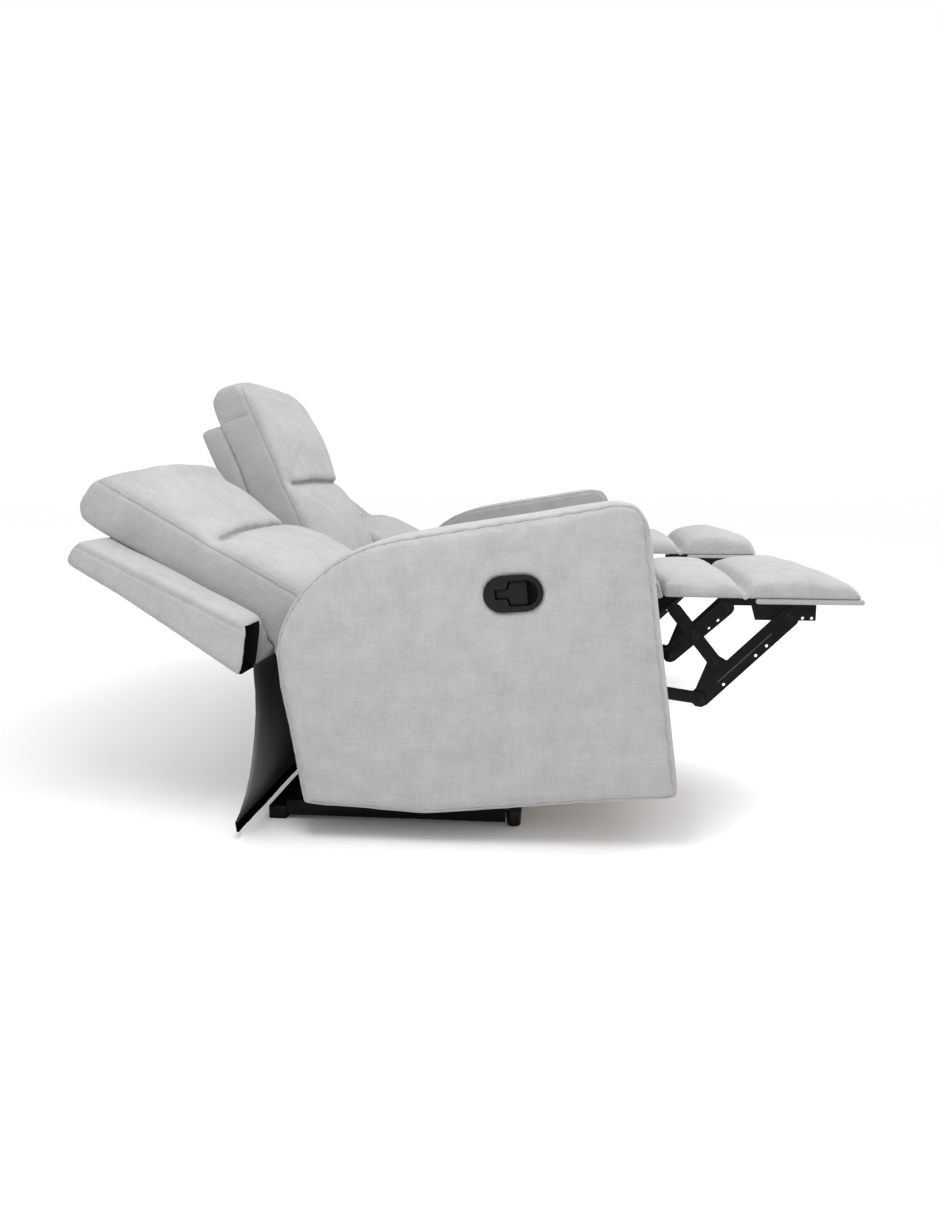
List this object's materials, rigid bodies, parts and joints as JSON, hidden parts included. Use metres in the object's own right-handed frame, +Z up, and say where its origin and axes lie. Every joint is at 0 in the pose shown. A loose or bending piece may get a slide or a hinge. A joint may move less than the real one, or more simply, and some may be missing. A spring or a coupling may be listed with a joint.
{
  "type": "reclining sofa",
  "caption": "Fabric reclining sofa with padded backs laid back, folding footrests on steel scissor links, recessed release levers in its arms and a fixed middle seat.",
  "frame": {"origin": "on the floor below the middle of the sofa's rest extents", "axes": "+X from the sitter's right end to the left end, the front faces -Y, +Z up"},
  "size_m": [1.928, 1.665, 1.0198],
  "materials": {
    "grey_fabric": "matte woven chenille",
    "lined_back_cloth": "matte woven, dark lining inside",
    "black_steel": "satin black",
    "black_plastic": "fine grain black",
    "plywood": "raw"
  },
  "bodies": {
    "base": {"front_base_bar": "black_steel", "rear_base_bar": "black_steel", "right_outer_base_rail": "black_steel", "right_outer_front_foot": "black_plastic", "right_inner_base_rail": "black_steel", "right_inner_front_foot": "black_plastic", "left_outer_base_rail": "black_steel", "left_outer_front_foot": "black_plastic", "left_inner_base_rail": "black_steel", "left_inner_front_foot": "black_plastic", "middle_seat_box": "grey_fabric", "middle_seat_cushion": "grey_fabric", "middle_back_cushion": "grey_fabric", "middle_outer_back": "grey_fabric"},
    "right_carriage": {"right_arm": "grey_fabric", "right_handle_bezel": "black_plastic", "right_seat_cushion": "grey_fabric", "right_seat_box": "plywood", "right_outer_side_plate": "black_steel", "right_inner_side_plate": "black_steel"},
    "right_back": {"right_back_cushion": "grey_fabric", "right_outer_back": "grey_fabric", "right_back_hinge_tube": "black_steel"},
    "right_flap": {"right_back_flap": "lined_back_cloth"},
    "right_footrest": {"right_footrest_board": "grey_fabric", "right_footrest_pad": "grey_fabric", "right_outer_footrest_bracket": "black_steel", "right_inner_footrest_bracket": "black_steel"},
    "right_front_links": {"right_outer_front_link": "black_steel", "right_inner_front_link": "black_steel"},
    "right_rear_links": {"right_outer_rear_link": "black_steel", "right_inner_rear_link": "black_steel"},
    "right_cross_links": {"right_outer_cross_link": "black_steel", "right_inner_cross_link": "black_steel"},
    "right_lower_links": {"right_outer_lower_link": "black_steel", "right_inner_lower_link": "black_steel"},
    "right_lever": {"right_handle_lever": "black_plastic"},
    "left_carriage": {"left_arm": "grey_fabric", "left_handle_bezel": "black_plastic", "left_seat_cushion": "grey_fabric", "left_seat_box": "plywood", "left_outer_side_plate": "black_steel", "left_inner_side_plate": "black_steel"},
    "left_back": {"left_back_cushion": "grey_fabric", "left_outer_back": "grey_fabric", "left_back_hinge_tube": "black_steel"},
    "left_flap": {"left_back_flap": "lined_back_cloth"},
    "left_footrest": {"left_footrest_board": "grey_fabric", "left_footrest_pad": "grey_fabric", "left_outer_footrest_bracket": "black_steel", "left_inner_footrest_bracket": "black_steel"},
    "left_front_links": {"left_outer_front_link": "black_steel", "left_inner_front_link": "black_steel"},
    "left_rear_links": {"left_outer_rear_link": "black_steel", "left_inner_rear_link": "black_steel"},
    "left_cross_links": {"left_outer_cross_link": "black_steel", "left_inner_cross_link": "black_steel"},
    "left_lower_links": {"left_outer_lower_link": "black_steel", "left_inner_lower_link": "black_steel"},
    "left_lever": {"left_handle_lever": "black_plastic"}
  },
  "joints": [
    {"name": "right_seat_glide", "type": "slide", "parent": "base", "child": "right_carriage", "axis": [0, 1, 0], "range_m": [0, 0.18]},
    {"name": "right_back_recline", "type": "hinge", "parent": "right_carriage", "child": "right_back", "pos_m": [-0.56, 0.26052, 0.41], "axis": [1, 0, 0], "range_deg": [0, 37.6]},
    {"name": "right_flap_swing", "type": "hinge", "parent": "right_back", "child": "right_flap", "pos_m": [-0.56, 0.41222, 0.35691], "axis": [-1, 0, 0], "range_deg": [0, 37.6]},
    {"name": "right_footrest_fold", "type": "hinge", "parent": "right_carriage", "child": "right_footrest", "pos_m": [-0.56, -0.43448, 0.503], "axis": [1, 0, 0], "range_deg": [0, 90]},
    {"name": "right_front_link_pivot", "type": "hinge", "parent": "right_footrest", "child": "right_front_links", "pos_m": [-0.56, -0.68648, 0.47], "axis": [-1, 0, 0], "range_deg": [0, 80.8]},
    {"name": "right_rear_link_pivot", "type": "hinge", "parent": "right_footrest", "child": "right_rear_links", "pos_m": [-0.56, -0.55998, 0.487], "axis": [-1, 0, 0], "range_deg": [0, 90.1]},
    {"name": "right_cross_link_pivot", "type": "hinge", "parent": "right_rear_links", "child": "right_cross_links", "pos_m": [-0.56, -0.49608, 0.42938], "axis": [1, 0, 0], "range_deg": [0, 20.1]},
    {"name": "right_lower_link_pivot", "type": "hinge", "parent": "right_carriage", "child": "right_lower_links", "pos_m": [-0.56, -0.27948, 0.33], "axis": [1, 0, 0], "range_deg": [0, 101.5]},
    {"name": "right_lever_pull", "type": "hinge", "parent": "right_carriage", "child": "right_lever", "pos_m": [-0.955, -0.09538, 0.52443], "axis": [0, -0.0785, -0.9969], "range_deg": [0, 30], "stiffness_Nm_per_rad": 0.5},
    {"name": "left_seat_glide", "type": "slide", "parent": "base", "child": "left_carriage", "axis": [0, 1, 0], "range_m": [0, 0.18]},
    {"name": "left_back_recline", "type": "hinge", "parent": "left_carriage", "child": "left_back", "pos_m": [0.56, 0.26052, 0.41], "axis": [1, 0, 0], "range_deg": [0, 37.6]},
    {"name": "left_flap_swing", "type": "hinge", "parent": "left_back", "child": "left_flap", "pos_m": [0.56, 0.41222, 0.35691], "axis": [-1, 0, 0], "range_deg": [0, 37.6]},
    {"name": "left_footrest_fold", "type": "hinge", "parent": "left_carriage", "child": "left_footrest", "pos_m": [0.56, -0.43448, 0.503], "axis": [1, 0, 0], "range_deg": [0, 90]},
    {"name": "left_front_link_pivot", "type": "hinge", "parent": "left_footrest", "child": "left_front_links", "pos_m": [0.56, -0.68648, 0.47], "axis": [-1, 0, 0], "range_deg": [0, 80.8]},
    {"name": "left_rear_link_pivot", "type": "hinge", "parent": "left_footrest", "child": "left_rear_links", "pos_m": [0.56, -0.55998, 0.487], "axis": [-1, 0, 0], "range_deg": [0, 90.1]},
    {"name": "left_cross_link_pivot", "type": "hinge", "parent": "left_rear_links", "child": "left_cross_links", "pos_m": [0.56, -0.49608, 0.42938], "axis": [1, 0, 0], "range_deg": [0, 20.1]},
    {"name": "left_lower_link_pivot", "type": "hinge", "parent": "left_carriage", "child": "left_lower_links", "pos_m": [0.56, -0.27948, 0.33], "axis": [1, 0, 0], "range_deg": [0, 101.5]},
    {"name": "left_lever_pull", "type": "hinge", "parent": "left_carriage", "child": "left_lever", "pos_m": [0.955, -0.09538, 0.52443], "axis": [0, 0.0785, 0.9969], "range_deg": [0, 30], "stiffness_Nm_per_rad": 0.5}
  ],
  "couplings": [
    {"joint": "right_back_recline", "follows": "right_seat_glide", "rad_per_m": 3.6361},
    {"joint": "right_flap_swing", "follows": "right_seat_glide", "rad_per_m": 3.6361},
    {"joint": "right_front_link_pivot", "follows": "right_footrest_fold", "ratio": 0.8963},
    {"joint": "right_rear_link_pivot", "follows": "right_footrest_fold", "ratio": 1},
    {"joint": "right_cross_link_pivot", "follows": "right_footrest_fold", "ratio": 0.2222},
    {"joint": "right_lower_link_pivot", "follows": "right_footrest_fold", "ratio": 1.1264},
    {"joint": "left_back_recline", "follows": "left_seat_glide", "rad_per_m": 3.6361},
    {"joint": "left_flap_swing", "follows": "left_seat_glide", "rad_per_m": 3.6361},
    {"joint": "left_front_link_pivot", "follows": "left_footrest_fold", "ratio": 0.8963},
    {"joint": "left_rear_link_pivot", "follows": "left_footrest_fold", "ratio": 1},
    {"joint": "left_cross_link_pivot", "follows": "left_footrest_fold", "ratio": 0.2222},
    {"joint": "left_lower_link_pivot", "follows": "left_footrest_fold", "ratio": 1.1264}
  ]
}
